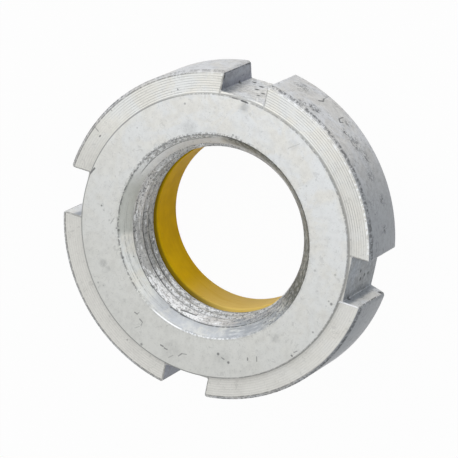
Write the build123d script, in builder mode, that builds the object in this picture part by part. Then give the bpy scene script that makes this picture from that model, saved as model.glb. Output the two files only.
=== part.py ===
"""Slotted round lock nut with a locking insert behind the thread.

The nut lies on the rolled edge of its collar, with the raised clamping face on top.
The origin is the centre of that rolled edge's flat underside, and +Z is the thread's axis.
Lengths are in millimetres and angles in degrees.
"""

from build123d import *
import math
import os

# Thread, a metric one with a fine pitch. The bore is cut at its minor diameter.
thread_diameter = 22.0
thread_pitch = 1.5
thread_length = 6.4  # from the clamping face to the seat of the insert

# Cone that leads the shaft into the thread
lead_in_margin = 1.1  # radial reach of its mouth past the thread's outer diameter
lead_in_angle = 35.0  # from the axis

# Toothed rim
outer_diameter = 39.0
rim_length = 7.65  # straight outer wall
rim_edge_break = 0.25
bevel_angle = 30.0  # of the bevel behind the rim, from the back face
back_face_width = 1.7  # from the collar to the bevel

# Spanner slots
slot_count = 4
slot_width = 5.5
slot_depth = 2.55
slot_root_radius = 0.2
slot_mouth_radius = 0.35

# Raised clamping face, turned down to just inside the floors of the slots
boss_margin = 0.1  # from the floor of a slot to the side of the boss
boss_height = 0.5
boss_edge_break = 0.15
boss_foot_bevel = 0.2

# Locking insert, clamped between the thread's end and the rolled edge
insert_length = 5.65
insert_wall = 3.3
insert_bite = 0.04  # radial amount by which its bore is tighter than the threaded bore
insert_clearance = 0.05  # radial play between the insert and its recess
insert_front_chamfer = 0.4
insert_rear_bevel = 0.5

# Collar that holds the insert, with its thin edge rolled inwards
collar_wall = 1.7
collar_root_bevel = 0.4
lip_thickness = 0.6
lip_overlap = 1.15  # radial reach of the rolled edge over the insert
curl_radius = 1.2
lip_tip_break = 0.15

# Depth of a metric internal thread, five eighths of the height of its sharp 60 degree profile
sharp_profile_height = thread_pitch * math.cos(math.radians(30))
thread_depth = 5 / 8 * sharp_profile_height

# Radii, from the axis outwards
thread_minor_radius = thread_diameter / 2 - thread_depth
lead_in_radius = thread_diameter / 2 + lead_in_margin
insert_bore_radius = thread_minor_radius - insert_bite
insert_radius = insert_bore_radius + insert_wall
recess_radius = insert_radius + insert_clearance
lip_radius = recess_radius - lip_overlap
collar_radius = recess_radius + collar_wall
outer_radius = outer_diameter / 2
slot_floor_radius = outer_radius - slot_depth
boss_radius = slot_floor_radius - boss_margin
back_face_radius = collar_radius + back_face_width

# Heights above the flat of the rolled edge
seat_height = lip_thickness + insert_length
overall_height = seat_height + thread_length
rim_face_height = overall_height - boss_height
rim_back_height = rim_face_height - rim_length
back_face_height = rim_back_height - (outer_radius - back_face_radius) * math.tan(math.radians(bevel_angle))
lead_in_depth = (lead_in_radius - thread_minor_radius) / math.tan(math.radians(lead_in_angle))

# Corners of the turned section that are broken or rounded
boss_edge = (boss_radius, overall_height)
boss_foot = (boss_radius, rim_face_height)
rim_front_edge = (outer_radius, rim_face_height)
rim_back_edge = (outer_radius, rim_back_height)
collar_root = (collar_radius, back_face_height)
curl_outside = (collar_radius, 0)
curl_inside = (recess_radius, lip_thickness)
lip_tip_bottom = (lip_radius, 0)
lip_tip_top = (lip_radius, lip_thickness)


def corner(sketch, point):
    """Return the corner of the section that stands at the point."""
    return sketch.vertices().sort_by_distance(point)[0]


# Nut body, turned as one ring, then slotted across the rim
with BuildPart() as nut_body:
    with BuildSketch(Plane.XZ) as section:
        with BuildLine():
            Polyline(
                (thread_minor_radius, seat_height),
                (thread_minor_radius, overall_height - lead_in_depth),
                (lead_in_radius, overall_height),
                boss_edge,
                boss_foot,
                rim_front_edge,
                rim_back_edge,
                (back_face_radius, back_face_height),
                collar_root,
                curl_outside,
                lip_tip_bottom,
                lip_tip_top,
                curl_inside,
                (recess_radius, seat_height),
                close=True,
            )
        make_face()
        chamfer(corner(section, boss_edge), boss_edge_break)
        chamfer(corner(section, boss_foot), boss_foot_bevel)
        chamfer(corner(section, rim_front_edge), rim_edge_break)
        chamfer(corner(section, rim_back_edge), rim_edge_break)
        chamfer(corner(section, collar_root), collar_root_bevel)
        chamfer(corner(section, curl_inside), insert_rear_bevel)
        chamfer(corner(section, lip_tip_bottom), lip_tip_break)
        chamfer(corner(section, lip_tip_top), lip_tip_break)
        fillet(corner(section, curl_outside), curl_radius)
    revolve(axis=Axis.Z)

    # Slots, open at the rim's outside and at both of its faces
    with BuildSketch(Plane.XY) as plan:
        Circle(outer_radius)
        with PolarLocations(outer_radius, slot_count):
            Rectangle(2 * slot_depth, slot_width, mode=Mode.SUBTRACT)
        fillet(plan.vertices().group_by(SortBy.DISTANCE)[0], slot_root_radius)
        fillet(plan.vertices().group_by(SortBy.DISTANCE)[-1], slot_mouth_radius)
    extrude(amount=overall_height, mode=Mode.INTERSECT)

nut_body.part.label = "nut_body"

# Locking insert, a plain moulded ring
with BuildPart() as locking_insert:
    with BuildSketch(Plane.XZ) as insert_section:
        with Locations(((insert_bore_radius + insert_radius) / 2, (lip_thickness + seat_height) / 2)):
            Rectangle(insert_wall, insert_length)
        chamfer(corner(insert_section, (insert_bore_radius, seat_height)), insert_front_chamfer)
        chamfer(corner(insert_section, (insert_radius, lip_thickness)), insert_rear_bevel)
    revolve(axis=Axis.Z)

locking_insert.part.label = "locking_insert"

os.makedirs("parts", exist_ok=True)
export_step(nut_body.part, "parts/nut_body.step")
export_step(locking_insert.part, "parts/locking_insert.step")
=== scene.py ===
"""Slotted round lock nut with a plastic locking ring, lying on a pale floor.

The nut lies on the rolled edge of its collar, with the raised clamping face on top.
Shapes are in metres, patterns on the surfaces are in millimetres, and directions round the
axis are in degrees from +X.
"""

import math
from types import SimpleNamespace

import bpy
from mathutils import Matrix, Vector


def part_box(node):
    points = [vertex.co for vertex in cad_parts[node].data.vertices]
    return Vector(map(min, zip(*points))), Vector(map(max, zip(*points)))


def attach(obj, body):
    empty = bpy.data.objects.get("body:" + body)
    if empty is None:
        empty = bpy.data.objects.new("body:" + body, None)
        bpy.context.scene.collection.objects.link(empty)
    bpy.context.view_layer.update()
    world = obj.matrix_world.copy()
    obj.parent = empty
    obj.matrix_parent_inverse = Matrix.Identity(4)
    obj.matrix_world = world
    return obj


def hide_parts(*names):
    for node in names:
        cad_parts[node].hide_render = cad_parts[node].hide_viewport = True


bl_info = {
    "name": "Slotted Lock Nut",
    "version": (1, 0, 0),
    "blender": (4, 5, 0),
    "location": "View3D > Sidebar > Lock Nut",
    "description": "Models a zinc plated round lock nut with four spanner slots and a plastic locking ring",
    "category": "Object",
}

MM = 0.001
FULL_TURN = 2 * math.pi
FLANK_ANGLE = math.radians(30)
# Depth of a metric internal thread, as a part of the height of its sharp profile
METRIC_DEPTH = 5 / 8
BEVEL_ANGLE = math.radians(30)
SMOOTH_ANGLE = math.radians(32)
RING_STEPS = 256
NODE_STEP = 200
WHITE = (1, 1, 1, 1)

# Place of the camera, and its directions to the right, up and forward
CAMERA_PLACE = (0.1219, -0.1357, 0.36875)
CAMERA_RIGHT = (0.19044, -0.89598, -0.40120)
CAMERA_UP = (0.93423, 0.29096, -0.20629)
CAMERA_FORWARD = (-0.30156, 0.33554, -0.89246)
SENSOR_WIDTH = 36

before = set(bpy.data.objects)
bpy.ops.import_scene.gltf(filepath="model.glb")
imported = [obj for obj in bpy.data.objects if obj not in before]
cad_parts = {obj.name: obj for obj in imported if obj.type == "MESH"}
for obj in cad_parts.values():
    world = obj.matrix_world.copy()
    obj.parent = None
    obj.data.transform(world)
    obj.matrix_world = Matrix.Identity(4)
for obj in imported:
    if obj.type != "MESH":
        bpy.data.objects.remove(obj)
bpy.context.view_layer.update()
nut_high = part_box("nut_body")[1]
ring_low, ring_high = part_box("locking_insert")


# Sizes and finishes that a user would change


def length(name, description, millimetres):
    """Length property, with its default given in millimetres."""
    return bpy.props.FloatProperty(
        name=name, description=description, default=millimetres * MM, unit="LENGTH", precision=5
    )


def colour(name, description, shade):
    """Colour property, in linear red, green and blue."""
    return bpy.props.FloatVectorProperty(
        name=name, description=description, default=shade, size=3, min=0.0, max=1.0, subtype="COLOR"
    )


def share(name, description, value, highest=1.0):
    """Plain factor property."""
    return bpy.props.FloatProperty(
        name=name, description=description, default=value, min=0.0, max=highest, subtype="FACTOR"
    )


class NutBodySizes(bpy.types.PropertyGroup):
    """Sizes of the steel body, in its turned section and its plan."""

    height: length("Overall Height", "From the flat rolled edge to the clamping face", nut_high[2] / MM)
    outer_radius: length("Rim Radius", "Outside of the toothed rim", 19.5)
    rim_length: length("Rim Length", "Straight part of the rim's outside", 7.65)
    rim_break: length("Rim Edge Break", "Chamfer on the front edge of the rim", 0.3)
    boss_radius: length("Boss Radius", "Outside of the raised clamping face", 16.85)
    boss_height: length("Boss Height", "Step from the rim's face up to the clamping face", 0.5)
    first_ring: length("First Ring", "From the boss to the innermost ring of the lathe tool", 0.26)
    tool_feed: length("Tool Feed", "From one ring of the lathe tool to the next, on the rim's face", 0.29)
    tool_mark: length("Tool Mark", "Depth of the hollows between those rings", 0.014)
    cone_radius: length("Lead-in Radius", "Mouth of the cone that leads the shaft into the thread", 12.1)
    cone_angle: bpy.props.FloatProperty(
        name="Lead-in Angle",
        description="Angle of the cone from the axis",
        default=math.radians(35),
        subtype="ANGLE",
    )
    thread_radius: length("Thread Radius", "Bottom of the thread's grooves, half of its diameter", 11.0)
    thread_pitch: length("Thread Pitch", "Rise of the thread in one turn", 1.5)
    thread_start: length("Thread Start", "Height of a groove above the clamping face, at +X", -2.288)
    seat_depth: length("Seat Depth", "From the clamping face to the seat of the locking ring", 6.4)
    recess_radius: length("Recess Radius", "Recess that holds the locking ring", 13.498)
    collar_radius: length("Collar Radius", "Outside of the collar round the locking ring", 15.198)
    back_face_width: length("Back Face Width", "From the collar to the bevel behind the rim", 1.7)
    lip_reach: length("Lip Reach", "How far the rolled edge reaches in over the locking ring", 1.15)
    lip_thickness: length("Lip Thickness", "Thickness of the rolled edge", 0.6)
    curl_radius: length("Curl Radius", "Outside bend of the rolled edge", 1.2)
    slot_width: length("Slot Width", "Width of a spanner slot", 5.5)
    slot_depth: length("Slot Depth", "Depth of a spanner slot from the rim's outside", 2.55)
    slot_mouth: length("Slot Mouth", "Round at the outer corners of a slot", 0.38)
    slot_root: length("Slot Root", "Round at the inner corners of a slot", 0.15)
    turning_steps: bpy.props.IntProperty(
        name="Turning Steps",
        description="Number of steps in a full turn of the section",
        default=384,
        min=48,
        max=512,
    )


class NutFinish(bpy.types.PropertyGroup):
    """Colours of the plating on each kind of surface of the steel body, and colours of painted shade and
    highlights on them.
    """

    clamping_face: colour("Clamping Face", "Smooth raised face", (0.775, 0.780, 0.775))
    # Painted shade: the clamping face's colour towards its darker side
    clamping_face_shade: colour("Clamping Face, Dull", "Where its plating is dull", (0.632, 0.638, 0.612))
    turned_face: colour("Turned Face", "Ringed face of the rim", (0.85, 0.85, 0.828))
    # Darker colour of the ringed face: painted shade towards its darker side, and two darker stretches
    turned_face_darker: colour("Turned Face, Dull", "Where its plating is dull", (0.68, 0.675, 0.640))
    rim_wall: colour("Rim Wall", "Outside of the rim", (0.72, 0.72, 0.73))
    # Painted shade: the rim's wall on the side where less of the light falls
    rim_wall_shade: colour("Rim Wall, Dull", "Where its plating is dull", (0.34, 0.36, 0.385))
    # Painted light and shade: slot faces turned towards the light take the lit colour, the others the shaded
    # grey, and some walls the deepest shade
    slot_lit: colour("Slot, Bright", "Slot faces that the cutter left bright", (0.90, 0.90, 0.90))
    slot_shade_grey: colour("Slot, Dull", "Slot faces that the cutter left dull", (0.40, 0.43, 0.47))
    slot_deep_shade: colour("Slot, Dark", "Slot walls that the cutter left darkest", (0.27, 0.29, 0.35))
    cone: colour("Lead-in Cone", "Cone in front of the thread", (0.78, 0.79, 0.77))
    # Painted shade on one part of the cone
    cone_shaded: colour("Lead-in Cone, Dull", "Where its plating is dull", (0.56, 0.58, 0.55))
    cone_blue: colour("Lead-in Cone, Blue", "Where its plating has a blue tinge", (0.56, 0.59, 0.63))
    # Painted shade: dark olive where the shaded cone reflects the yellow ring
    shaded_reflection: colour("Stain", "Dark olive stain on one side of the cone", (0.13, 0.135, 0.115))
    thread: colour("Thread", "Flanks of the thread", (0.64, 0.635, 0.63))
    # Painted shade: the thread on the side turned away from the light
    thread_shade: colour("Thread, Dull", "Where its plating is dull", (0.46, 0.465, 0.46))
    thread_crest: colour("Thread Crest", "Crests of the thread", (0.40, 0.41, 0.40))
    back: colour("Back", "Bevel, back face and collar", (0.62, 0.63, 0.64))
    # Rubbed bright places, and painted highlights on the thread and the cone
    polished_and_glint: colour("Polished", "Places that are rubbed bright", (0.93, 0.95, 0.97))
    # Grime, and painted shade along some edges
    grime_and_shade: colour("Grime", "Dark residue in corners, pits and scratches", (0.07, 0.075, 0.08))
    metal: share("Metal", "How far the plating reflects like bare metal", 0.25)
    roughness: share("Roughness", "Roughness of the plating", 0.42)


class LockingRingSizes(bpy.types.PropertyGroup):
    """Sizes of the plastic ring behind the thread."""

    bore_radius: length("Bore Radius", "Smooth bore of the ring", 10.068)
    outer_radius: length("Outer Radius", "Outside of the ring, in its recess", ring_high[0] / MM)
    bottom: length("Rear Face", "Height of the face that lies on the rolled edge", ring_low[2] / MM)
    top: length("Front Face", "Height of the face against the seat", ring_high[2] / MM)
    front_chamfer: length("Front Chamfer", "Chamfer that leads the shaft into the ring", 0.4)
    rear_chamfer: length("Rear Chamfer", "Chamfer that clears the bend of the rolled edge", 0.5)
    rear_round: length("Rear Round", "Round at the rear end of the bore", 0.1)


class LockingRingFinish(bpy.types.PropertyGroup):
    """Colours of the plastic ring, with a painted sheen and a painted shadow among them."""

    yellow: colour("Yellow", "Golden yellow of the moulded plastic", (0.93, 0.61, 0.004))
    shade: colour("Yellow Shade", "Darker clouds in the plastic", (0.86, 0.55, 0.003))
    # Painted sheen: a paler yellow on one side stands in for the plastic's reflection of the light
    pale: colour("Pale Yellow", "Pale bloom on one side of the plastic", (0.96, 0.70, 0.20))
    # Painted shadow under the last crest of the thread, on the ring's front edge
    edge: colour("Dark Edge", "Thread dirt on the front edge of the plastic", (0.10, 0.075, 0.008))
    speck: colour("Speck", "Fine brown specks", (0.30, 0.17, 0.01))
    roughness: share("Roughness", "Roughness of the plastic", 0.5)
    gloss: share("Gloss", "Strength of the plastic's reflection", 0.03)


class StageSettings(bpy.types.PropertyGroup):
    """Floor, lights and camera."""

    floor_size: length("Floor Size", "Side of the square floor", 3000)
    floor_shade: share("Floor Shade", "How much of the light the floor gives back", 0.5)
    floor_white: share("Floor White", "How far the floor shows plain white when it is looked at", 0.97)
    low_light: share("Low Light", "Strength of the wide low light", 0.93, 5)
    high_light: share("High Light", "Strength of the high light", 0.85, 5)
    fill_light: share("Fill Light", "Strength of the light from the other side", 0.54, 5)
    room_light: share("Room Light", "Even light from all round", 0.12, 5)
    lens: bpy.props.FloatProperty(
        name="Lens", description="Focal length in millimetres, on a sensor 36 mm wide", default=272.4, min=1
    )


# Modelling helpers


def clear_selection():
    """Leave edit mode and deselect every object."""
    if bpy.context.object and bpy.context.object.mode != "OBJECT":
        bpy.ops.object.mode_set(mode="OBJECT")
    bpy.ops.object.select_all(action="DESELECT")


def start_outline(name, point):
    """Start a new object in edit mode as a single vertex at the point."""
    clear_selection()
    bpy.ops.mesh.primitive_plane_add(size=MM, enter_editmode=True)
    bpy.context.object.name = name
    bpy.ops.mesh.merge(type="CENTER")
    bpy.ops.transform.translate(value=point)
    return bpy.context.object


def draw_on(points):
    """Draw a chain of edges from the selected vertex, at the first point, through the others."""
    for start, end in zip(points, points[1:]):
        bpy.ops.mesh.extrude_vertices_move(TRANSFORM_OT_translate={"value": Vector(end) - Vector(start)})


def weld():
    """Select everything in the mesh and merge vertices that lie on each other."""
    bpy.ops.mesh.select_all(action="SELECT")
    bpy.ops.mesh.remove_doubles(threshold=1e-7)


def close_shape():
    """Turn all faces of the open mesh outwards, and leave edit mode."""
    bpy.ops.mesh.select_all(action="SELECT")
    bpy.ops.mesh.normals_make_consistent(inside=False)
    bpy.ops.object.mode_set(mode="OBJECT")


def draw_section(name, points):
    """Draw a closed section in the XZ plane through (radius, height) points."""
    corners = [(radius, 0, height) for radius, height in points]
    piece = start_outline(name, corners[0])
    draw_on(corners + corners[:1])
    weld()
    return piece


def turn_section(steps):
    """Spin the open piece's section right round the Z axis into a closed ring."""
    bpy.ops.mesh.select_all(action="SELECT")
    bpy.ops.mesh.spin(steps=steps, angle=FULL_TURN, center=(0, 0, 0), axis=(0, 0, 1))
    weld()
    close_shape()


def arc(center, radius, start, end, steps):
    """Points of an arc from the start angle to the end angle, in degrees."""
    angles = [math.radians(start + (end - start) * k / steps) for k in range(steps + 1)]
    return [(center[0] + radius * math.cos(a), center[1] + radius * math.sin(a)) for a in angles]


def cut(piece, cutter, operation="DIFFERENCE"):
    """Boolean the cutter with the piece, and remove the cutter."""
    clear_selection()
    piece.select_set(True)
    bpy.context.view_layer.objects.active = piece
    modifier = piece.modifiers.new(operation.title(), "BOOLEAN")
    modifier.operation = operation
    modifier.solver = "EXACT"
    modifier.object = cutter
    bpy.ops.object.modifier_apply(modifier=modifier.name)
    if not piece.data.polygons:
        raise RuntimeError(f"Nothing is left of {piece.name} after {cutter.name}")
    bpy.data.objects.remove(cutter, do_unlink=True)


def on_ring(radius, degrees, height):
    """Place at a distance and a direction from the axis."""
    angle = math.radians(degrees)
    return (radius * math.cos(angle), radius * math.sin(angle), height)


# Materials


class Nodes:
    """Adds nodes to one tree. A value is a plain number or colour, or another node's socket."""

    def __init__(self, tree):
        self.tree = tree

    def add(self, kind, inputs=None, **settings):
        """Add a node with its settings, and link or set its inputs."""
        node = self.tree.nodes.new(kind)
        node.location = (-NODE_STEP * len(self.tree.nodes), 0)
        for name, value in settings.items():
            setattr(node, name, value)
        for name, value in (inputs or {}).items():
            self.feed(node.inputs[name], value)
        return node

    def feed(self, socket, value):
        """Link the value to the socket if it is a socket itself, or else set it."""
        if isinstance(value, bpy.types.NodeSocket):
            self.tree.links.new(value, socket)
        else:
            socket.default_value = value

    def vector(self, operation, a, b=None, scale=None):
        """Vector calculation."""
        node = self.add("ShaderNodeVectorMath", {0: a}, operation=operation)
        if b is not None:
            self.feed(node.inputs[1], b)
        if scale is not None:
            self.feed(node.inputs["Scale"], scale)
        return node.outputs["Value" if operation in ("LENGTH", "DISTANCE", "DOT_PRODUCT") else "Vector"]

    def calc(self, operation, a, b=0.0, clamp=False):
        """Calculation with single numbers."""
        return self.add("ShaderNodeMath", {0: a, 1: b}, operation=operation, use_clamp=clamp).outputs[0]

    def ramp(self, value, low, high, start=0.0, end=1.0):
        """Smooth step from start to end as the value goes from low to high."""
        node = self.add(
            "ShaderNodeMapRange",
            {"Value": value, "From Min": low, "From Max": high, "To Min": start, "To Max": end},
            interpolation_type="SMOOTHSTEP",
        )
        return node.outputs["Result"]

    def most(self, *masks):
        """The largest of several masks."""
        result = masks[0]
        for mask in masks[1:]:
            result = self.calc("MAXIMUM", result, mask)
        return result

    def both(self, *masks):
        """The product of several masks or strengths."""
        result = masks[0]
        for mask in masks[1:]:
            result = self.calc("MULTIPLY", result, mask)
        return result

    def seen_directly(self):
        """1 for camera, glossy and transmission rays, which see the white background."""
        rays = self.add("ShaderNodeLightPath").outputs
        return self.most(rays["Is Camera Ray"], rays["Is Glossy Ray"], rays["Is Transmission Ray"])


class Paint(Nodes):
    """Nodes of one surface material. Places on the piece are object coordinates in millimetres."""

    def __init__(self, name):
        self.material = bpy.data.materials.new(name)
        self.material.use_nodes = True
        super().__init__(self.material.node_tree)
        self.shader = self.tree.nodes["Principled BSDF"]
        coordinates = self.add("ShaderNodeTexCoord").outputs["Object"]
        self.place = self.vector("SCALE", coordinates, scale=1 / MM)
        self.flat = self.vector("MULTIPLY", self.place, (1, 1, 0))
        self.radius = self.vector("LENGTH", self.flat)
        self.direction = self.vector("NORMALIZE", self.flat)
        self.parts = self.add("ShaderNodeSeparateXYZ", {"Vector": self.place}).outputs
        self.height = self.parts["Z"]

    def noise(self, size, detail=2.0, rough=0.5, place=None, warp=0.0):
        """Noise from 0 to 1 whose features have about the given size."""
        vector = self.vector("SCALE", place or self.place, scale=1 / size)
        node = self.add(
            "ShaderNodeTexNoise",
            {"Vector": vector, "Scale": 1.0, "Detail": detail, "Roughness": rough, "Distortion": warp},
        )
        return node.outputs["Fac"]

    def clouds(self, size):
        """Noise with soft uneven edges."""
        return self.noise(size, 3, 0.6)

    def ragged(self, size):
        """Noise with rough torn edges."""
        return self.noise(size, 4, 0.7)

    def streaks(self, across, width, long, reach):
        """Noise drawn out round the axis at the given reach from it, into streaks of a width and a length."""
        round_axis = self.vector("SCALE", self.direction, scale=reach / long)
        step = self.add("ShaderNodeCombineXYZ", {"Z": self.calc("DIVIDE", across, width)}).outputs["Vector"]
        return self.noise(1.0, 3, 0.6, self.vector("ADD", round_axis, step))

    def blend(self, mask, a, b, mode="MIX"):
        """Mix two colours by the mask."""
        node = self.add("ShaderNodeMix", {"Factor": mask}, data_type="RGBA", blend_type=mode)
        self.feed(node.inputs[6], a)
        self.feed(node.inputs[7], b)
        return node.outputs[2]

    def band(self, value, middle, half, soft):
        """1 within half of the middle, fading to 0 over soft."""
        away = self.calc("ABSOLUTE", self.calc("SUBTRACT", value, middle))
        return self.ramp(away, half, half + soft, 1.0, 0.0)

    def ring(self, radius, half, soft):
        """1 within half of the radius, fading to 0 over soft."""
        return self.band(self.radius, radius, half, soft)

    def facing(self, degrees, half, soft):
        """1 within half of the direction round the axis, fading to 0 over soft, all in degrees."""
        cosine = self.vector("DOT_PRODUCT", self.direction, on_ring(1, degrees, 0))
        return self.ramp(cosine, math.cos(math.radians(half + soft)), math.cos(math.radians(half)))

    def by_side(self, degrees, half, soft, there, elsewhere):
        """One strength within half of the direction round the axis, and another elsewhere."""
        return self.ramp(self.facing(degrees, half, soft), 0.0, 1.0, elsewhere, there)

    def grains(self, size, part):
        """Small separate specks of about the given size, in the given part of the cells."""
        vector = self.vector("SCALE", self.place, scale=1 / size)
        node = self.add("ShaderNodeTexVoronoi", {"Vector": vector, "Scale": 0.5, "Randomness": 1.0})
        near = self.ramp(node.outputs["Distance"], 0.12, 0.3, 1.0, 0.0)
        lot = self.add("ShaderNodeSeparateColor", {"Color": node.outputs["Color"]}).outputs[0]
        return self.both(near, self.ramp(lot, 1 - part - 0.02, 1 - part + 0.02))

    def spots(self, places):
        """Strength at each of the (point, size, strength) places, fading to 0 at its size."""
        total = 0.0
        for point, size, strength in places:
            away = self.vector("DISTANCE", self.place, point)
            total = self.calc("MAXIMUM", total, self.ramp(away, 0.3 * size, size, strength, 0.0))
        return total

    def lines(self, strokes):
        """Strength along each straight (start, end, width, strength) stroke, with ragged sides."""
        ragged = self.noise(0.25, 3, 0.7)
        total = 0.0
        for start, end, width, strength in strokes:
            along = Vector(end) - Vector(start)
            offset = self.vector("SUBTRACT", self.place, start)
            reach = self.vector("DOT_PRODUCT", offset, along / along.length_squared)
            foot = self.vector("SCALE", along, scale=self.calc("ADD", reach, clamp=True))
            away = self.vector("DISTANCE", offset, foot)
            half = self.calc("MULTIPLY", ragged, 0.5 * width)
            mask = self.ramp(self.calc("SUBTRACT", away, half), 0.0, 0.35 * width, strength, 0.0)
            total = self.calc("MAXIMUM", total, mask)
        return total

    def bump(self, height, depth, under=None):
        """Bump of the given depth in millimetres, on top of the normal under it."""
        node = self.add("ShaderNodeBump", {"Strength": 1.0, "Distance": depth * MM, "Height": height})
        if under is not None:
            self.feed(node.inputs["Normal"], under)
        return node.outputs["Normal"]


def tinted(base, red=1.0, green=1.0, blue=1.0):
    """The colour with its channels multiplied, and full alpha."""
    return (base[0] * red, base[1] * green, base[2] * blue, 1)


def zinc(name, at, finish, base, marks=None, tints=(), mottling=0.9, grain=1.0, shine=None):
    """Bright zinc plating: satin metal with faint clouds, a fine grain and small dark pits.

    marks gives a mask of grime and painted shade, and shine one of places that are rubbed bright.
    tints are further colours, each with the mask of where it lies, among them painted shade and
    painted highlights. mottling is how dark the darkest patches are.
    """
    paint = Paint(name)
    clouds = paint.noise(3.2, 3, 0.6, warp=0.6)
    patches = paint.noise(0.75, 4, 0.62)
    fine = paint.noise(0.17, 2, 0.6)
    warm, cool = tinted(base, 1.01, 1.0, 0.965), tinted(base, 0.98, 1.0, 1.02)
    shade = paint.blend(paint.ramp(clouds, 0.38, 0.62), warm, cool)
    for tint, place in tints:
        shade = paint.blend(place(paint, at), shade, tinted(tint))
    tone = paint.calc("ADD", paint.both(clouds, 0.35), paint.both(patches, 0.65))
    shade = paint.blend(paint.ramp(tone, 0.60, 0.34), shade, (mottling, mottling, mottling, 1), "MULTIPLY")
    speckle = paint.both(paint.ramp(fine, 0.56, 0.74), 0.55 * grain)
    shade = paint.blend(speckle, shade, (0.72, 0.72, 0.73, 1), "MULTIPLY")
    pits = paint.both(paint.grains(0.26, 0.035), paint.ramp(clouds, 0.42, 0.58))
    dark = paint.both(pits, 0.7)
    if marks is not None:
        dark = paint.most(dark, marks(paint, at))
    shade = paint.blend(dark, shade, tinted(finish.grime_and_shade))
    if shine is not None:
        shade = paint.blend(shine(paint, at), shade, tinted(finish.polished_and_glint))
    paint.feed(paint.shader.inputs["Base Color"], shade)
    paint.shader.inputs["Metallic"].default_value = finish.metal
    rough = paint.ramp(tone, 0.3, 0.7, finish.roughness - 0.05, finish.roughness + 0.07)
    paint.feed(paint.shader.inputs["Roughness"], paint.calc("ADD", rough, paint.both(dark, 0.25)))
    normal = paint.bump(fine, 0.006 * grain)
    normal = paint.bump(paint.calc("SUBTRACT", 1.0, pits), 0.02, normal)
    paint.feed(paint.shader.inputs["Normal"], normal)
    return paint.material


# Shape of the steel body


def landmarks(sizes, unit=1.0):
    """Radii and heights of the body's edges, and the steps of its thread and rings, in the unit."""
    rim_face = sizes.height - sizes.boss_height
    places = {
        "top": sizes.height,
        "rim_face": rim_face,
        "rim_back": rim_face - sizes.rim_length,
        "seat": sizes.height - sizes.seat_depth,
        "rim": sizes.outer_radius,
        "rim_break": sizes.rim_break,
        "boss": sizes.boss_radius,
        "first_ring": sizes.boss_radius + sizes.first_ring,
        "feed": sizes.tool_feed,
        "mouth": sizes.cone_radius,
        "thread": sizes.thread_radius,
        "crest": sizes.thread_radius - METRIC_DEPTH * sizes.thread_pitch * math.cos(FLANK_ANGLE),
        "groove": sizes.height + sizes.thread_start,
        "pitch": sizes.thread_pitch,
        "slot_floor": sizes.outer_radius - sizes.slot_depth,
        "slot_half": sizes.slot_width / 2,
    }
    return SimpleNamespace(**{name: place / unit for name, place in places.items()})


def body_section(sizes):
    """Section of the turned body, before the slots and the thread are cut."""
    at = landmarks(sizes)
    cone_slope = math.tan(sizes.cone_angle)
    collar = sizes.collar_radius
    recess = sizes.recess_radius
    lip = recess - sizes.lip_reach
    back_face = collar + sizes.back_face_width
    back = at.rim_back - (at.rim - back_face) * math.tan(BEVEL_ANGLE)
    worn = 0.05 * MM
    boss_round = 0.12 * MM
    foot_round = 0.2 * MM
    rim_round = 0.15 * MM
    root_round = 0.4 * MM
    lip_round = 0.2 * MM
    rear_bevel = 0.5 * MM

    points = [(at.crest, at.seat), (at.crest, at.top - (at.mouth - at.crest) / cone_slope)]
    points += [(at.mouth - worn, at.top - worn / cone_slope), (at.mouth + worn, at.top)]
    points += arc((at.boss - boss_round, at.top - boss_round), boss_round, 90, 0, 4)
    points += arc((at.boss + foot_round, at.rim_face + foot_round), foot_round, 180, 270, 4)
    # Shallow hollows that the lathe tool leaves between its rings
    ring = at.first_ring
    while ring + at.feed < at.rim - at.rim_break - worn:
        points += [
            (ring, at.rim_face),
            (ring + 0.25 * at.feed, at.rim_face - 0.85 * sizes.tool_mark),
            (ring + 0.6 * at.feed, at.rim_face - sizes.tool_mark),
        ]
        ring += at.feed
    points.append((ring, at.rim_face))
    # Front edge of the rim, a chamfer whose own edges are worn round
    blend = 0.02 * MM
    points += [
        (at.rim - at.rim_break - blend, at.rim_face),
        (at.rim - at.rim_break + blend, at.rim_face - blend),
        (at.rim - blend, at.rim_face - at.rim_break + 2 * blend),
        (at.rim, at.rim_face - at.rim_break),
    ]
    points += arc((at.rim - rim_round, at.rim_back + 0.1 * MM), rim_round, 0, -60, 3)
    points += arc((back_face, back + rim_round), rim_round, -60, -90, 2)
    points += arc((collar + root_round, back - root_round), root_round, 90, 180, 5)
    points += arc((collar - sizes.curl_radius, sizes.curl_radius), sizes.curl_radius, 0, -90, 10)
    points += arc((lip + lip_round, lip_round), lip_round, -90, -180, 4)
    points += arc((lip + lip_round, sizes.lip_thickness - lip_round), lip_round, 180, 90, 4)
    points += [
        (recess - rear_bevel, sizes.lip_thickness),
        (recess, sizes.lip_thickness + rear_bevel),
        (recess, at.seat),
    ]
    return points


def rim_quarter(sizes):
    """Outline of the slotted rim, seen from above, from the middle of one slot's floor to the next."""
    at = landmarks(sizes)
    half, floor = at.slot_half, at.slot_floor
    root, mouth = sizes.slot_root, sizes.slot_mouth
    # Just outside the turned rim, so that the two walls don't lie in each other
    rim = at.rim + 0.005 * MM
    # The mouth's round touches both the slot's wall and the rim
    mouth_y = half + mouth
    mouth_x = math.sqrt((rim - mouth) ** 2 - mouth_y**2)
    lean = math.degrees(math.atan2(mouth_y, mouth_x))
    points = [(floor, 0)]
    points += arc((floor + root, half - root), root, 180, 90, 5)
    points += arc((mouth_x, mouth_y), mouth, -90, lean, 6)
    points += arc((0, 0), rim, lean, 90 - lean, 72)[1:]
    points += arc((mouth_y, mouth_x), mouth, 90 - lean, 180, 6)[1:]
    points += arc((half - root, floor + root), root, 0, -90, 5)
    points.append((0, floor))
    return points


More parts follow.
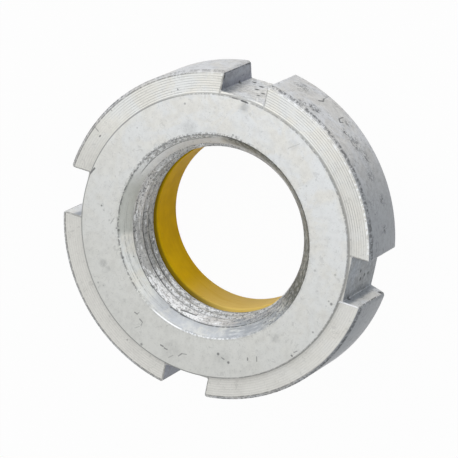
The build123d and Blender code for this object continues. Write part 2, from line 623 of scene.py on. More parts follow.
def plan_prism(sizes):
    """Prism with the slotted outline of the rim, its front edges broken."""
    below = -1 * MM
    above = 2 * MM
    edge_break = 0.1 * MM
    corners = [(x, y, below) for x, y in rim_quarter(sizes)]
    prism = start_outline("rim_prism", corners[0])
    draw_on(corners)
    # The quarter is doubled into a half, and the half into the whole
    for turn in (FULL_TURN / 4, FULL_TURN / 2):
        bpy.ops.mesh.select_all(action="SELECT")
        bpy.ops.mesh.duplicate()
        bpy.ops.transform.rotate(value=turn, orient_axis="Z", center_override=(0, 0, 0))
    weld()
    bpy.ops.mesh.edge_face_add()
    rise = landmarks(sizes).rim_face - edge_break - below
    bpy.ops.mesh.extrude_region_move(TRANSFORM_OT_translate={"value": (0, 0, rise)})
    bpy.ops.mesh.inset(thickness=1.2 * edge_break, depth=1.2 * edge_break)
    bpy.ops.mesh.extrude_region_move(TRANSFORM_OT_translate={"value": (0, 0, above)})
    close_shape()
    return prism


def thread_tap(sizes):
    """Helical tap that cuts the right-hand thread into the bore."""
    pitch, outer = sizes.thread_pitch, sizes.thread_radius
    # Deeper than the thread, so that the tap sticks out into the empty bore
    depth = 1.0 * MM
    inner = outer - depth
    half_flat = pitch / 16
    half_mouth = half_flat + depth * math.tan(FLANK_ANGLE)
    turns = 7
    turns_below = 4
    steps = 128
    middle = landmarks(sizes).groove - turns_below * pitch
    section = [
        (inner, middle - half_mouth),
        (outer, middle - half_flat),
        (outer, middle + half_flat),
        (inner, middle + half_mouth),
    ]
    tap = draw_section("thread_tap", section)
    bpy.ops.object.mode_set(mode="OBJECT")
    screw = tap.modifiers.new("Screw", "SCREW")
    screw.axis = "Z"
    screw.angle = FULL_TURN
    screw.screw_offset = pitch
    screw.iterations = turns
    screw.steps = screw.render_steps = steps
    screw.use_merge_vertices = False
    bpy.ops.object.modifier_apply(modifier=screw.name)
    bpy.ops.object.mode_set(mode="EDIT")
    bpy.ops.mesh.select_all(action="SELECT")
    bpy.ops.mesh.fill_holes(sides=len(section))
    close_shape()
    return tap


def dent_cutter(sizes):
    """Ball that presses a small dent into the edge of the boss."""
    radius = 1.05 * MM
    place = (17.35 * MM, -1.1 * MM, sizes.height + 0.75 * MM)
    clear_selection()
    bpy.ops.mesh.primitive_uv_sphere_add(segments=96, ring_count=48, radius=radius, enter_editmode=True)
    bpy.ops.transform.translate(value=place)
    bpy.ops.object.mode_set(mode="OBJECT")
    return bpy.context.object


# Marks on the plating, and masks of painted shade and highlights. Each mask takes the paint, and the body's
# landmarks in millimetres.


# Soft grey smudges on the clamping face: distance from the axis, direction, size, strength
FACE_SMUDGES = (
    (14.7, 119.5, 0.7, 0.30),
    (14.3, 122.5, 0.5, 0.25),
    (14.4, -163.5, 1.4, 0.16),
    (15.0, 171.0, 1.6, 0.14),
    (13.7, -132.8, 0.8, 0.25),
    (16.1, -2.5, 0.9, 0.30),
    (12.9, 25.0, 1.3, 0.20),
    (15.4, -29.0, 0.9, 0.14),
)

# Single pits on the clamping face: distance from the axis, direction, size, strength
FACE_PITS = (
    (14.9, -160.2, 0.24, 0.75),
    (13.9, -165.0, 0.26, 0.75),
    (16.1, -116.5, 0.18, 0.50),
    (16.2, -101.5, 0.24, 0.65),
    (15.8, -101.0, 0.16, 0.45),
    (15.6, -89.0, 0.20, 0.35),
    (13.1, -90.0, 0.20, 0.30),
    (16.5, 158.5, 0.24, 0.60),
    (12.5, 0.0, 0.20, 0.50),
    (12.4, -2.0, 0.22, 0.50),
    (14.0, 94.0, 0.16, 0.30),
    (13.2, 98.5, 0.16, 0.30),
    (15.8, 24.5, 0.18, 0.50),
    (16.2, 127.0, 0.18, 0.40),
    (15.7, 129.0, 0.16, 0.35),
)

# Scratches on the clamping face: distance and direction of the start and of the end, width, strength
FACE_SCRATCHES = (
    (14.1, 147.0, 14.0, 148.5, 0.16, 0.60),
    (14.0, 148.5, 13.7, 148.6, 0.12, 0.50),
    (14.2, 151.0, 14.25, 153.0, 0.16, 0.60),
    (14.25, 153.0, 14.7, 153.5, 0.12, 0.50),
    (15.5, 152.0, 14.9, 153.2, 0.10, 0.30),
    (15.1, 166.0, 15.1, 167.2, 0.20, 0.70),
    (15.2, 168.0, 15.2, 169.5, 0.18, 0.65),
    (16.0, 171.5, 15.5, 173.0, 0.12, 0.40),
    (15.3, 175.5, 14.85, 176.8, 0.16, 0.60),
    (14.85, 176.8, 14.75, 179.0, 0.12, 0.50),
    (14.35, -163.2, 14.5, -162.2, 0.18, 0.65),
    (14.65, -150.3, 14.9, -150.6, 0.18, 0.65),
    (14.8, -145.8, 15.3, -146.5, 0.14, 0.60),
    (16.42, -130.7, 16.52, -130.6, 0.24, 0.75),
    (16.3, -129.0, 16.4, -127.5, 0.14, 0.55),
    (14.7, -28.0, 16.1, -30.4, 0.12, 0.28),
    (16.8, 80.5, 16.5, 77.5, 0.25, 0.80),
    (13.0, 100.0, 12.6, 97.0, 0.15, 0.35),
    (16.78, 3.2, 16.78, 1.0, 0.18, 0.80),
    (16.74, -0.6, 16.72, -3.4, 0.24, 0.90),
)

# Scratches on the rim's ringed face, in the same way
TURNED_FACE_SCRATCHES = (
    (18.5, 64.8, 19.1, 64.5, 0.14, 0.55),
    (19.6, 55.8, 18.9, 55.3, 0.14, 0.50),
    (18.0, 65.6, 18.0, 66.0, 0.22, 0.75),
)

# Rubbed and pitted places on the rim's wall: direction, height above the rolled edge, size, strength
RIM_SCUFFS = (
    (-15.0, 7.1, 1.5, 0.65),
    (-24.7, 10.2, 1.2, 0.90),
    (-21.0, 11.2, 1.0, 0.70),
    (-34.8, 6.3, 0.9, 0.55),
    (-37.5, 8.4, 1.0, 0.75),
    (-42.0, 8.0, 1.7, 0.60),
    (-47.5, 7.4, 1.2, 0.65),
    (-54.0, 8.2, 1.3, 0.50),
    (-63.0, 7.3, 0.8, 0.80),
    (-73.0, 7.7, 0.7, 0.80),
    (38.0, 10.8, 0.8, 0.60),
    (150.0, 8.0, 1.5, 0.50),
    (210.0, 6.5, 1.8, 0.60),
)

# Scratches on the rim's wall: direction and height of the start and of the end, width, strength
RIM_SCRATCHES = (
    (-22.8, 7.6, -23.7, 6.9, 0.26, 0.85),
    (-23.7, 6.9, -23.0, 6.2, 0.22, 0.70),
    (-23.0, 6.2, -22.9, 4.4, 0.12, 0.50),
    (-32.1, 6.2, -32.0, 7.4, 0.20, 0.70),
    (-32.0, 7.4, -33.2, 7.8, 0.24, 0.85),
    (-33.2, 7.8, -33.8, 7.2, 0.20, 0.75),
)

# Pits in the slots that open to +X and to -Y: place, size
SLOT_PITS = (
    ((16.95, 1.7, 4.7), 0.41),
    ((16.95, 0.4, 5.6), 0.46),
    ((16.95, 0.3, 7.2), 0.43),
    ((16.95, -0.9, 8.1), 0.43),
    ((16.95, -0.85, 9.4), 0.35),
    ((0.1, -16.95, 8.0), 0.35),
    ((-0.75, -16.95, 6.4), 0.35),
    ((-0.8, -16.95, 5.2), 0.32),
    ((-1.0, -16.95, 7.5), 0.38),
    ((17.0, 2.75, 6.8), 0.46),
    ((18.6, 2.75, 11.9), 0.49),
    ((19.2, 2.75, 4.8), 0.54),
    ((-2.75, -17.0, 10.5), 0.46),
    ((-2.75, -18.8, 4.8), 0.46),
)

# Nicks in the cone: distance from the axis, direction, height, size, strength
CONE_NICKS = (
    (12.02, 103.5, 12.55, 0.24, 0.80),
    (12.05, 119.2, 12.58, 0.28, 0.80),
    (11.02, 159.5, 11.12, 0.24, 0.80),
    (10.34, 138.0, 10.14, 0.24, 0.75),
)

# Scratches in the cone: distance, direction and height of the start and of the end, width, strength
CONE_SCRATCHES = (
    (11.05, 166.8, 11.15, 11.02, 170.2, 11.12, 0.26, 0.85),
    (10.76, 165.3, 10.75, 10.66, 168.5, 10.60, 0.24, 0.85),
    (10.66, 168.5, 10.60, 10.58, 175.5, 10.50, 0.20, 0.85),
    (11.00, 141.0, 11.08, 11.00, 143.0, 11.08, 0.20, 0.70),
)


def level_spots(rows, height):
    """Spots on a level face at the height, from their distances and directions."""
    return [(on_ring(radius, degrees, height), *rest) for radius, degrees, *rest in rows]


def level_strokes(rows, height):
    """Strokes on a level face at the height, from the distances and directions of their ends."""
    strokes = []
    for radius, degrees, end_radius, end_degrees, *rest in rows:
        strokes.append((on_ring(radius, degrees, height), on_ring(end_radius, end_degrees, height), *rest))
    return strokes


def hairlines(paint, size, strength):
    """Faint short hairline scratches of about the given size."""
    lines = paint.band(paint.noise(size, warp=0.5), 0.5, 0.012, 0.020)
    part = paint.ramp(paint.noise(0.8 * size), 0.56, 0.62)
    return paint.both(lines, part, strength)


def shaded_side(paint, at):
    """Painted shade: grows from 0 to 1 right across the nut, towards its darker side."""
    across = paint.vector("DOT_PRODUCT", paint.flat, on_ring(1, 165, 0))
    reach = 1.1 * at.boss
    return paint.ramp(across, -reach, reach)


def cone_mouth_wear(paint):
    """Strength of the wear on the cone's mouth: full on one side, faint elsewhere."""
    return paint.by_side(32, 34, 20, there=1.0, elsewhere=0.35)


def clamping_face_marks(paint, at):
    """Ragged dark lines round the cone's mouth and along the edge of the boss, painted shade along that edge
    on one side, and rubbed places.
    """
    ragged = paint.ragged(0.35)
    mouth = paint.both(paint.ring(at.mouth + 0.05, 0.02, 0.30), cone_mouth_wear(paint))
    edge = paint.ring(at.boss - 0.02, 0.05, 0.12)
    # Painted shade along the edge of the boss, on the side where the edge hides the corner at its foot
    shaded_edge = paint.both(paint.ring(at.boss - 0.04, 0.08, 0.07), paint.facing(112, 78, 20))
    smudges = paint.spots(level_spots(FACE_SMUDGES, at.top))
    return paint.most(
        paint.both(mouth, paint.ramp(ragged, 0.44, 0.56), 0.6),
        paint.both(edge, paint.ramp(ragged, 0.30, 0.58), 0.6),
        paint.both(shaded_edge, 0.6),
        hairlines(paint, 1.2, 0.13),
        paint.both(smudges, paint.ramp(paint.clouds(0.5), 0.40, 0.60, 0.45, 1.0)),
        paint.spots(level_spots(FACE_PITS, at.top)),
        paint.lines(level_strokes(FACE_SCRATCHES, at.top)),
    )


def worn_cone_edge(paint, at):
    """Bright line where the edge of the cone is rubbed clean, unbroken at one end and dotted at the other."""
    dots = paint.ramp(paint.noise(0.3, 2, 0.6), 0.48, 0.56)
    dotted = paint.both(paint.facing(184, 14, 14), dots, 0.7)
    return paint.both(paint.ring(at.mouth, 0.05, 0.04), paint.most(paint.facing(163, 7, 5), dotted))


def dull_stretches(paint, at):
    """Two stretches of the ringed face, on opposite sides, where it is duller than beside them."""
    return paint.most(paint.facing(98, 16, 26), paint.both(paint.facing(-77, 20, 24), 0.6))


def slot_side(paint, at, half, soft):
    """1 along the walls of the four slots, seen from above."""
    x, y = [paint.calc("ABSOLUTE", paint.parts[axis]) for axis in "XY"]
    return paint.band(paint.calc("MINIMUM", x, y), at.slot_half + half, half, soft)


def turned_face_marks(paint, at):
    """Dark thread along each tool ring, a dark line at the foot of the boss, grime on the rim's edges, and
    painted shade that widens the dark edge on one side.
    """
    turns = paint.calc("DIVIDE", paint.calc("SUBTRACT", paint.radius, at.first_ring), at.feed)
    # 0 halfway between two rings and 0.5 on a ring
    nearness = paint.calc("ABSOLUTE", paint.calc("SUBTRACT", paint.calc("FRACT", turns), 0.5))
    fresh = paint.by_side(-12, 50, 26, there=1.0, elsewhere=0.30)
    rings = paint.both(paint.ramp(nearness, 0.30, 0.48), fresh, paint.ramp(paint.clouds(1.5), 0.25, 0.60))
    ragged = paint.ragged(0.35)
    uneven = paint.both(paint.ramp(paint.clouds(1.2), 0.36, 0.62), 0.3)
    break_start = at.rim - at.rim_break
    chamfer = paint.ramp(paint.radius, break_start - 0.06, break_start + 0.06)
    # On one side only the outer part of the chamfer is dark
    thick_side = paint.calc("SUBTRACT", 1.0, paint.facing(-62, 36, 20))
    outside = paint.most(paint.ramp(paint.radius, at.rim - 0.20, at.rim - 0.12), thick_side)
    worn = paint.ramp(paint.calc("ADD", ragged, uneven), 0.38, 0.80, 0.40, 1.0)
    # On the side that is turned away from the light the dark edge reaches further in
    wide = paint.both(paint.ramp(paint.radius, at.rim - 0.48, at.rim - 0.36), paint.facing(125, 100, 16))
    foot = paint.ring(at.boss + 0.02, 0.03, 0.09)
    corner = paint.both(slot_side(paint, at, 0.06, 0.10), paint.ramp(ragged, 0.30, 0.60, 0.4, 1.0))
    return paint.most(
        paint.both(rings, 0.46),
        paint.both(chamfer, outside, worn, paint.by_side(22, 26, 12, there=0.50, elsewhere=0.80)),
        paint.both(wide, paint.ramp(ragged, 0.34, 0.56, 0.4, 1.0), 0.72),
        paint.both(foot, 0.40),
        paint.both(corner, 0.55),
        hairlines(paint, 1.2, 0.16),
        paint.lines(level_strokes(TURNED_FACE_SCRATCHES, at.rim_face)),
    )


def bright_rim_edge(paint, at):
    """Patches just inside the rim's front edge that are rubbed bright, on one side, and one slot's edge."""
    patches = paint.both(paint.ring(at.rim - 0.40, 0.08, 0.14), paint.ramp(paint.clouds(0.45), 0.50, 0.58))
    slot_edge = paint.both(slot_side(paint, at, 0.06, 0.06), paint.facing(-98.7, 2.5, 1.0))
    return paint.both(paint.most(paint.both(patches, paint.facing(-36, 36, 20)), slot_edge), 0.8)


def rim_wall_marks(paint, at):
    """Grime along the edges, faint drawn-out scratches and clusters of pits."""
    worn = paint.ramp(paint.ragged(0.35), 0.38, 0.58)
    front = paint.band(paint.height, at.rim_face - at.rim_break, 0.08, 0.30)
    edges = paint.most(front, paint.band(paint.height, at.rim_back, 0.04, 0.20))
    drawn = paint.ramp(paint.streaks(paint.height, 0.12, 1.4, at.rim), 0.54, 0.72)
    clusters = paint.ramp(paint.noise(3.0), 0.40, 0.60)
    blotches = paint.both(paint.ramp(paint.ragged(0.45), 0.50, 0.66), clusters)
    # Scribbles of short curved strokes at the scuffs
    curves = paint.band(paint.noise(0.6, 3, 0.6, warp=1.0), 0.5, 0.045, 0.035)
    broken = paint.ramp(paint.noise(0.4), 0.38, 0.48)
    scuffs = paint.spots([(on_ring(at.rim, a, z), *rest) for a, z, *rest in RIM_SCUFFS])
    scratches = []
    for a, z, end_a, end_z, *rest in RIM_SCRATCHES:
        scratches.append((on_ring(at.rim, a, z), on_ring(at.rim, end_a, end_z), *rest))
    return paint.most(
        paint.both(edges, worn, paint.by_side(26, 16, 10, there=0.42, elsewhere=0.80)),
        paint.both(drawn, 0.25),
        paint.both(blotches, 0.38),
        paint.both(scuffs, curves, broken),
        paint.lines(scratches),
    )


def shaded_rim_side(paint, at):
    """Painted shade on the side of the rim's wall where less of the light falls."""
    return paint.facing(-92, 14, 45)


def slot_marks(paint, at):
    """Grime at the slot's front edge and root, specks and pits."""
    ragged = paint.ragged(0.4)
    front = paint.band(paint.height, at.rim_face - 0.05, 0.03, 0.14)
    outside = paint.ramp(paint.radius, at.rim - 0.42, at.rim - 0.30)
    root = paint.ring(at.slot_floor + 0.15, 0.10, 0.25)
    clusters = paint.ramp(paint.noise(1.6), 0.42, 0.52)
    specks = paint.both(paint.ramp(paint.noise(0.3, 4, 0.72), 0.56, 0.64), clusters)
    return paint.most(
        paint.both(front, paint.ramp(ragged, 0.35, 0.6), 0.8),
        paint.both(outside, paint.ramp(ragged, 0.36, 0.54), 0.85),
        paint.both(root, paint.ramp(ragged, 0.40, 0.6), 0.3),
        paint.both(specks, 0.55),
        paint.spots([(place, size, 0.95) for place, size in SLOT_PITS]),
    )


def slot_root_shade(paint, at):
    """Painted shade on the inner half of a slot's wall, towards its root, where the opposite wall keeps the
    light off.
    """
    wavy = paint.both(paint.clouds(1.0), 0.8)
    outward = paint.calc("ADD", paint.radius, wavy)
    return paint.ramp(outward, at.slot_floor + 1.2, at.slot_floor + 1.8, 1.0, 0.0)


def shaded_slot_walls(paint, at):
    """Painted shade on the walls of the slots on the X axis, darkest at the root."""
    on_x = paint.calc("SUBTRACT", 1.0, paint.facing(-90, 35, 25))
    return paint.both(on_x, paint.ramp(slot_root_shade(paint, at), 0.0, 1.0, 0.7, 1.0))


def slot_corner_shade(paint, at):
    """Painted shade on the corner of a slot's floor beside its dark wall, widest at the front."""
    along = paint.calc("ADD", paint.parts["Y"], paint.both(paint.clouds(0.8), 0.8))
    to_front = paint.ramp(paint.height, 4.0, 11.5)
    return paint.both(paint.ramp(along, 1.7, 3.0), to_front)


def cone_reflection_shade(paint, at):
    """Painted shade on one part of the cone, ending sharply at one side where a reflection ends."""
    return paint.both(paint.facing(60, 44, 4), paint.by_side(84, 28, 28, there=1.0, elsewhere=0.25))


def bright_cone(paint, at):
    """The side of the cone, beside the dull part, where the plating is brightest."""
    return paint.both(paint.facing(32, 24, 24), 0.85)


def blue_cone(paint, at):
    """Patches of the cone with a blue tinge."""
    return paint.both(paint.facing(188, 30, 18), paint.ramp(paint.clouds(1.2), 0.34, 0.60, 0.45, 1.0))


def grey_cone(paint, at):
    """Streaky grey part of the cone, between the blue tinge and the painted olive shade."""
    drawn = paint.ramp(paint.streaks(paint.height, 0.25, 1.6, at.mouth), 0.36, 0.60)
    return paint.both(paint.facing(-132, 22, 12), drawn)


def inner_cone(paint, at):
    """The inner part of the cone, past the end of the first groove, which looks like the thread."""
    return paint.ramp(paint.calc("SUBTRACT", at.top, paint.height), 1.55, 1.80)


def shaded_thread_side(paint, at):
    """Painted shade on the side of the thread turned away from the light."""
    return paint.facing(118, 13, 18)


def shaded_inner_cone(paint, at):
    """Painted shade on the inner cone, on the same side as on the thread."""
    return paint.both(inner_cone(paint, at), shaded_thread_side(paint, at))


def olive_cone_shade(paint, at):
    """Painted shade: mottled dark olive where the shaded cone reflects the yellow ring, on one side, over its
    whole length at one end only.
    """
    patches = paint.clouds(0.5)
    inward = paint.calc("ADD", paint.radius, paint.both(patches, 0.5))
    whole_length = paint.ramp(inward, at.mouth - 2.0, at.mouth - 1.6)
    outer_length = paint.ramp(inward, at.mouth - 1.2, at.mouth - 0.6)
    long_part = paint.both(whole_length, paint.facing(-82, 26, 18))
    short_part = paint.both(outer_length, paint.facing(-34, 34, 12))
    return paint.both(paint.most(long_part, short_part), paint.ramp(patches, 0.64, 0.42, 0.55, 0.95))


def cone_marks(paint, at):
    """Dark rubbed band at the cone's mouth, thin lines round the cone and specks beside the thread."""
    ragged = paint.ragged(0.35)
    depth = paint.calc("SUBTRACT", at.top, paint.height)
    # Mottled band of wear inside the mouth, on one side
    at_mouth = paint.ramp(paint.radius, at.mouth - 0.62, at.mouth - 0.50)
    mottled = paint.ramp(paint.noise(0.4, 3, 0.7, warp=0.6), 0.42, 0.58)
    drawn = paint.ramp(paint.streaks(paint.height, 0.09, 2.5, at.mouth), 0.50, 0.70)
    specks = paint.both(
        paint.ramp(depth, 1.55, 1.75),
        paint.ramp(ragged, 0.50, 0.60),
        paint.by_side(30, 22, 20, there=0.4, elsewhere=1.0),
    )
    stained_specks = paint.both(paint.facing(-114, 18, 8), paint.ramp(paint.clouds(0.3), 0.50, 0.60))
    # Thin broken lines: where each runs, on which side, from what raggedness on, and how dark
    lines = (
        (paint.ring(at.mouth - 0.05, 0.02, 0.16), cone_mouth_wear(paint), (0.40, 0.56), 0.75),
        (paint.ring(at.mouth - 0.60, 0.02, 0.05), paint.facing(40, 22, 8), (0.34, 0.50), 0.7),
        (paint.band(depth, 1.52, 0.03, 0.08), paint.facing(195, 32, 10), (0.30, 0.55), 0.8),
        (paint.band(depth, 0.74, 0.02, 0.08), paint.facing(122, 18, 6), (0.36, 0.56), 0.4),
        (paint.ring(at.mouth - 0.02, 0.04, 0.07), paint.facing(100, 38, 10), (0.42, 0.54), 0.7),
        (paint.ring(at.mouth - 0.08, 0.08, 0.14), paint.facing(-38, 50, 12), (0.30, 0.56), 0.6),
    )
    return paint.most(
        paint.both(at_mouth, paint.facing(36, 20, 8), mottled, 0.6),
        *[paint.both(line, side, paint.ramp(ragged, *torn), dark) for line, side, torn, dark in lines],
        paint.both(drawn, paint.facing(125, 25, 20), 0.3),
        paint.both(specks, 0.45),
        paint.both(stained_specks, 0.6),
        paint.spots([(on_ring(*row[:3]), *row[3:]) for row in CONE_NICKS]),
        paint.lines([(on_ring(*row[:3]), on_ring(*row[3:6]), *row[6:]) for row in CONE_SCRATCHES]),
    )


def thread_place(paint, at):
    """Place across the thread's profile, in pitches: 0 in a groove, half on a crest, above it positive."""
    turn = paint.calc("DIVIDE", paint.calc("ARCTAN2", paint.parts["Y"], paint.parts["X"]), FULL_TURN)
    rise = paint.calc("DIVIDE", paint.calc("SUBTRACT", paint.height, at.groove), at.pitch)
    whole = paint.calc("ADD", paint.calc("SUBTRACT", rise, turn), 0.5)
    # Whole turns are added first, because a fraction is taken of positive numbers only
    return paint.calc("SUBTRACT", paint.calc("FRACT", paint.calc("ADD", whole, 100.0)), 0.5)


def thread_crests(paint, at):
    """The crests of the thread, whose plating is thin."""
    return paint.ramp(paint.calc("ABSOLUTE", thread_place(paint, at)), 0.34, 0.40)


def thread_glints(paint, at):
    """Painted highlights: drawn-out bright streaks on the thread and the inner cone, most of them on one
    side.
    """
    drawn = paint.streaks(paint.height, 0.14, 1.3, at.thread)
    lot = paint.calc("ADD", drawn, paint.by_side(157, 8, 26, there=0.17, elsewhere=0.0))
    return paint.both(paint.ramp(lot, 0.56, 0.66), 0.8)


def inner_cone_glints(paint, at):
    """The same painted highlights on the inner part of the cone."""
    return paint.both(inner_cone(paint, at), thread_glints(paint, at))


def thread_marks(paint, at):
    """Dark lines deep in the grooves, stronger on one side, and at the seat, and ragged specks on the flanks.
    """
    groove = paint.ramp(paint.radius, at.thread - 0.52, at.thread - 0.40)
    # Where a groove cuts the cone all of it can be seen, so there it is only dark along its upper side
    upper = paint.ramp(thread_place(paint, at), -0.08, -0.04)
    on_cone = paint.ramp(paint.height, at.top - 2.6, at.top - 2.5)
    deep = paint.both(groove, paint.most(upper, paint.calc("SUBTRACT", 1.0, on_cone)))
    darker_side = paint.by_side(100, 34, 24, there=0.85, elsewhere=0.50)
    ragged = paint.ragged(0.25)
    drawn = paint.ramp(paint.streaks(paint.height, 0.18, 1.0, at.thread), 0.54, 0.66)
    last_turn = paint.ramp(paint.height, at.seat + 0.45, at.seat + 0.20)
    return paint.most(
        paint.both(deep, paint.ramp(ragged, 0.20, 0.50), darker_side),
        paint.both(paint.ramp(ragged, 0.50, 0.60), 0.7),
        paint.both(drawn, 0.45),
        paint.both(last_turn, paint.ramp(ragged, 0.44, 0.54), 0.7),
    )


# Steel body


def zone_of(face, at, cone_angle):
    """Name of the kind of surface that a face of the steel body belongs to."""
    middle, normal = face.center, face.normal
    radius = math.hypot(middle.x, middle.y)
    outward = Vector((middle.x, middle.y, 0)).normalized().dot(normal)
    upright = abs(normal.z) < 0.3
    turned_out = outward > 0.5
    straight_out = outward > 0.9
    # Painted light and shade: slot faces turned towards +X or +Y, where the light falls, get a lit copy of
    # the slot finish, the others a shaded copy
    lit_slot_face = normal.x + normal.y > 0
    # How far the middle of a face may lie from an edge that is worn, a crest, broken or round
    hair = 0.02 * MM
    crest_break = 0.11 * MM
    edge_break = 0.1 * MM
    edge_round = 0.4 * MM
    if radius < at.mouth + hair and at.seat < middle.z < at.top - hair:
        at_mouth = radius > at.mouth - 2 * edge_break
        past_crests = radius > at.crest + crest_break
        on_cone = past_crests and abs(normal.z - math.sin(cone_angle)) < 0.05
        return "cone" if at_mouth or on_cone else "thread"
    if middle.z > at.top - edge_break and radius < at.boss + hair:
        return "clamping_face"
    if middle.z > at.rim_face - hair:
        return "turned_face"
    if radius > at.rim - edge_round and turned_out and middle.z > at.rim_back:
        return "rim_wall"
    if radius > at.slot_floor - edge_break and upright:
        if not lit_slot_face:
            return "slot_shade_grey"
        return "slot_floor_lit" if straight_out else "slot_wall_lit"
    return "back"


def finish_zones(body, sizes, finish):
    """Give each kind of surface of the steel body its own finish."""
    # Most tints below are painted shade and highlights: darker colours on the sides away from the light, at
    # the slot roots and on the cone, and bright streaks on the thread
    face_tints = ((finish.clamping_face_shade, shaded_side),)
    turned_tints = ((finish.turned_face_darker, shaded_side), (finish.turned_face_darker, dull_stretches))
    rim_tints = ((finish.rim_wall_shade, shaded_rim_side),)
    floor_tints = ((finish.slot_shade_grey, slot_corner_shade),)
    wall_tints = ((finish.slot_shade_grey, slot_root_shade),)
    deep_shade_tints = ((finish.slot_deep_shade, shaded_slot_walls),)
    cone_tints = (
        (finish.cone_shaded, cone_reflection_shade),
        (finish.cone_blue, blue_cone),
        (finish.thread, inner_cone),
        (finish.thread_shade, shaded_inner_cone),
        (finish.polished_and_glint, inner_cone_glints),
        (finish.polished_and_glint, bright_cone),
        (finish.slot_shade_grey, grey_cone),
        (finish.shaded_reflection, olive_cone_shade),
    )
    thread_tints = (
        (finish.thread_shade, shaded_thread_side),
        (finish.thread_crest, thread_crests),
        (finish.polished_and_glint, thread_glints),
    )
    kinds = {
        # Base colour, marks, tints, mottling, grain and shine of each kind of surface
        "clamping_face": (finish.clamping_face, clamping_face_marks, face_tints, 0.90, 1.0, worn_cone_edge),
        "turned_face": (finish.turned_face, turned_face_marks, turned_tints, 0.92, 1.0, bright_rim_edge),
        "rim_wall": (finish.rim_wall, rim_wall_marks, rim_tints, 0.79, 1.6),
        "slot_floor_lit": (finish.slot_lit, slot_marks, floor_tints, 0.85, 1.2),
        "slot_wall_lit": (finish.slot_lit, slot_marks, wall_tints, 0.85, 1.2),
        "slot_shade_grey": (finish.slot_shade_grey, slot_marks, deep_shade_tints, 0.62, 1.8),
        "cone": (finish.cone, cone_marks, cone_tints, 0.90, 1.0, worn_cone_edge),
        "thread": (finish.thread, thread_marks, thread_tints, 0.80, 1.6),
        "back": (finish.back, None, (), 0.88),
    }
    in_metres, in_millimetres = landmarks(sizes), landmarks(sizes, MM)
    for face in body.data.polygons:
        face.material_index = list(kinds).index(zone_of(face, in_metres, sizes.cone_angle))
    for kind, values in kinds.items():
        body.data.materials.append(zinc(f"zinc_{kind}", in_millimetres, finish, *values))


class NUT_OT_body(bpy.types.Operator):
    """Model the turned, slotted and tapped steel body"""

    bl_idname = "lock_nut.body"
    bl_label = "Steel Body"
    bl_options = {"REGISTER", "UNDO"}

    def execute(self, context):
        sizes = context.scene.nut_body_sizes
        body = draw_section("nut_steel", body_section(sizes))
        turn_section(sizes.turning_steps)
        cut(body, plan_prism(sizes), "INTERSECT")
        cut(body, thread_tap(sizes))
        cut(body, dent_cutter(sizes))
        finish_zones(body, sizes, context.scene.nut_finish)
        clear_selection()
        body.select_set(True)
        context.view_layer.objects.active = body
        bpy.ops.object.shade_smooth_by_angle(angle=SMOOTH_ANGLE)
        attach(body, "root")
        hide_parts("nut_body")
        return {"FINISHED"}


# Locking ring


def polyamide(sizes, finish):
    """Golden yellow moulded polyamide, smooth and slightly glossy."""
    paint = Paint("yellow_polyamide")
    clouds = paint.noise(2.0, 3, 0.5)
    drawn = paint.streaks(paint.height, 0.35, 4.0, sizes.bore_radius / MM)
    shade = paint.blend(paint.ramp(clouds, 0.35, 0.65), tinted(finish.shade), tinted(finish.yellow))
    # Painted sheen: a paler yellow on one side stands in for the plastic's reflection of the light
    shade = paint.blend(paint.facing(214, 24, 44), shade, tinted(finish.pale))
    shade = paint.blend(paint.ramp(drawn, 0.45, 0.75, 0.0, 0.35), shade, tinted(finish.shade, 0.9, 0.85, 0.8))
    shade = paint.blend(paint.both(paint.grains(0.12, 0.04), 0.4), shade, tinted(finish.speck))
    front = sizes.top / MM
    # Painted shadow under the last crest of the thread, along the ring's front edge, strongest on one side
    shading = paint.by_side(100, 50, 50, there=0.80, elsewhere=0.25)
    edge = paint.both(paint.ramp(paint.height, front - 0.50, front - 0.15), shading)
    shade = paint.blend(edge, shade, tinted(finish.edge))
    paint.feed(paint.shader.inputs["Base Color"], shade)
    paint.shader.inputs["Roughness"].default_value = finish.roughness
    paint.shader.inputs["Specular IOR Level"].default_value = finish.gloss
    paint.feed(paint.shader.inputs["Normal"], paint.bump(paint.noise(0.2), 0.004))
    return paint.material


class NUT_OT_locking_ring(bpy.types.Operator):
    """Model the plastic locking ring behind the thread"""

    bl_idname = "lock_nut.locking_ring"
    bl_label = "Locking Ring"
    bl_options = {"REGISTER", "UNDO"}

    def execute(self, context):
        sizes = context.scene.locking_ring_sizes
        bore, radius, bottom, top = sizes.bore_radius, sizes.outer_radius, sizes.bottom, sizes.top
        rear = sizes.rear_round
        points = arc((bore + rear, bottom + rear), rear, -90, -180, 4)
        points += [(bore, top - sizes.front_chamfer), (bore + sizes.front_chamfer, top), (radius, top)]
        points += [(radius, bottom + sizes.rear_chamfer), (radius - sizes.rear_chamfer, bottom)]
        ring = draw_section("locking_ring", points)
        turn_section(RING_STEPS)
        bpy.ops.object.shade_smooth_by_angle(angle=SMOOTH_ANGLE)
        ring.data.materials.append(polyamide(sizes, context.scene.locking_ring_finish))
        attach(ring, "root")
        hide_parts("locking_insert")
        return {"FINISHED"}


# Stage


def floor_material(settings):
    """Pale floor that shows white and keeps the nut's shadow."""
    material = bpy.data.materials.new("pale_floor")
    material.use_nodes = True
    nodes = Nodes(material.node_tree)
    nodes.tree.nodes.clear()
    grey = (settings.floor_shade,) * 3 + (1,)
    matte = nodes.add("ShaderNodeBsdfDiffuse", {"Color": grey}).outputs[0]
    white = nodes.add("ShaderNodeEmission", {"Color": WHITE, "Strength": 1.0}).outputs[0]
    part = nodes.both(nodes.seen_directly(), settings.floor_white)
    mixed = nodes.add("ShaderNodeMixShader", {0: part, 1: matte, 2: white}).outputs[0]
    nodes.add("ShaderNodeOutputMaterial", {"Surface": mixed})
    return material


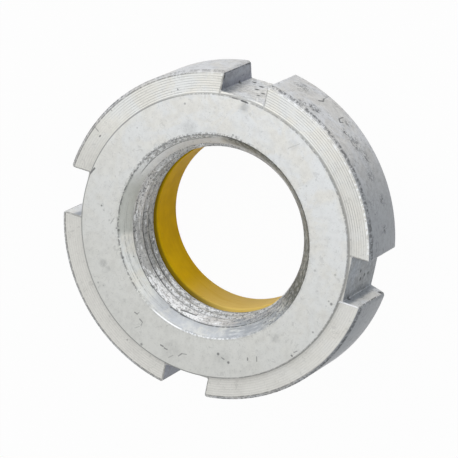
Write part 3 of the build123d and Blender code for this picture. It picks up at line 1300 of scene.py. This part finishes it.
def soft_room(settings):
    """World that is white to look at, and lights the nut with three wide soft lights."""
    # Height above the floor, direction round the axis, spread (in degrees) and strength of each light
    lights = (
        (10, 18, 95, settings.low_light),
        (60, 30, 68, settings.high_light),
        (23, 244, 74, settings.fill_light),
    )
    world = bpy.data.worlds.new("soft_room")
    world.use_nodes = True
    nodes = Nodes(world.node_tree)
    background = nodes.tree.nodes["Background"]
    background.inputs["Color"].default_value = WHITE
    direction = nodes.add("ShaderNodeTexCoord").outputs["Generated"]
    total = settings.room_light
    for elevation, azimuth, spread, strength in lights:
        rise = math.radians(elevation)
        middle = on_ring(math.cos(rise), azimuth, math.sin(rise))
        toward = nodes.vector("DOT_PRODUCT", direction, middle)
        light = nodes.ramp(toward, math.cos(math.radians(spread)), 1.0, 0.0, strength)
        total = nodes.calc("ADD", total, light)
    nodes.feed(background.inputs["Strength"], nodes.most(nodes.seen_directly(), total))
    return world


class NUT_OT_stage(bpy.types.Operator):
    """Set the floor, the lights and the camera"""

    bl_idname = "lock_nut.stage"
    bl_label = "Floor, Light and Camera"
    bl_options = {"REGISTER", "UNDO"}

    def execute(self, context):
        scene = context.scene
        settings = scene.stage_settings
        scene.view_settings.view_transform = "Standard"

        clear_selection()
        bpy.ops.mesh.primitive_plane_add(size=settings.floor_size, enter_editmode=True)
        bpy.ops.object.mode_set(mode="OBJECT")
        floor = context.object
        floor.name = "floor"
        floor.data.materials.append(floor_material(settings))
        scene.world = soft_room(settings)

        data = bpy.data.cameras.new("camera")
        data.lens = settings.lens
        data.sensor_width = SENSOR_WIDTH
        camera = bpy.data.objects.new("camera", data)
        scene.collection.objects.link(camera)
        turn = Matrix((CAMERA_RIGHT, CAMERA_UP, -Vector(CAMERA_FORWARD))).transposed()
        camera.matrix_world = Matrix.Translation(CAMERA_PLACE) @ turn.to_4x4()
        scene.camera = camera
        return {"FINISHED"}


class NUT_PT_panel(bpy.types.Panel):
    """Sizes, finishes and steps of the lock nut"""

    bl_idname = "NUT_PT_panel"
    bl_label = "Slotted Lock Nut"
    bl_space_type = "VIEW_3D"
    bl_region_type = "UI"
    bl_category = "Lock Nut"

    def draw(self, context):
        scene = context.scene
        steps = (
            ((scene.nut_body_sizes, scene.nut_finish), NUT_OT_body),
            ((scene.locking_ring_sizes, scene.locking_ring_finish), NUT_OT_locking_ring),
            ((scene.stage_settings,), NUT_OT_stage),
        )
        for groups, operator in steps:
            column = self.layout.column(align=True)
            for group in groups:
                for name in group.__annotations__:
                    column.prop(group, name)
            column.operator(operator.bl_idname)


GROUPS = {
    "nut_body_sizes": NutBodySizes,
    "nut_finish": NutFinish,
    "locking_ring_sizes": LockingRingSizes,
    "locking_ring_finish": LockingRingFinish,
    "stage_settings": StageSettings,
}

CLASSES = (*GROUPS.values(), NUT_OT_body, NUT_OT_locking_ring, NUT_OT_stage, NUT_PT_panel)


def register():
    """Register the classes, and give the scene its sizes and finishes."""
    for item in CLASSES:
        bpy.utils.register_class(item)
    for name, group in GROUPS.items():
        setattr(bpy.types.Scene, name, bpy.props.PointerProperty(type=group))


def unregister():
    """Take the sizes and finishes from the scene, and unregister the classes."""
    for name in GROUPS:
        delattr(bpy.types.Scene, name)
    for item in reversed(CLASSES):
        bpy.utils.unregister_class(item)


def main():
    """Build the nut and its stage."""
    register()
    bpy.ops.lock_nut.body()
    bpy.ops.lock_nut.locking_ring()
    bpy.ops.lock_nut.stage()


if __name__ == "__main__":
    main()
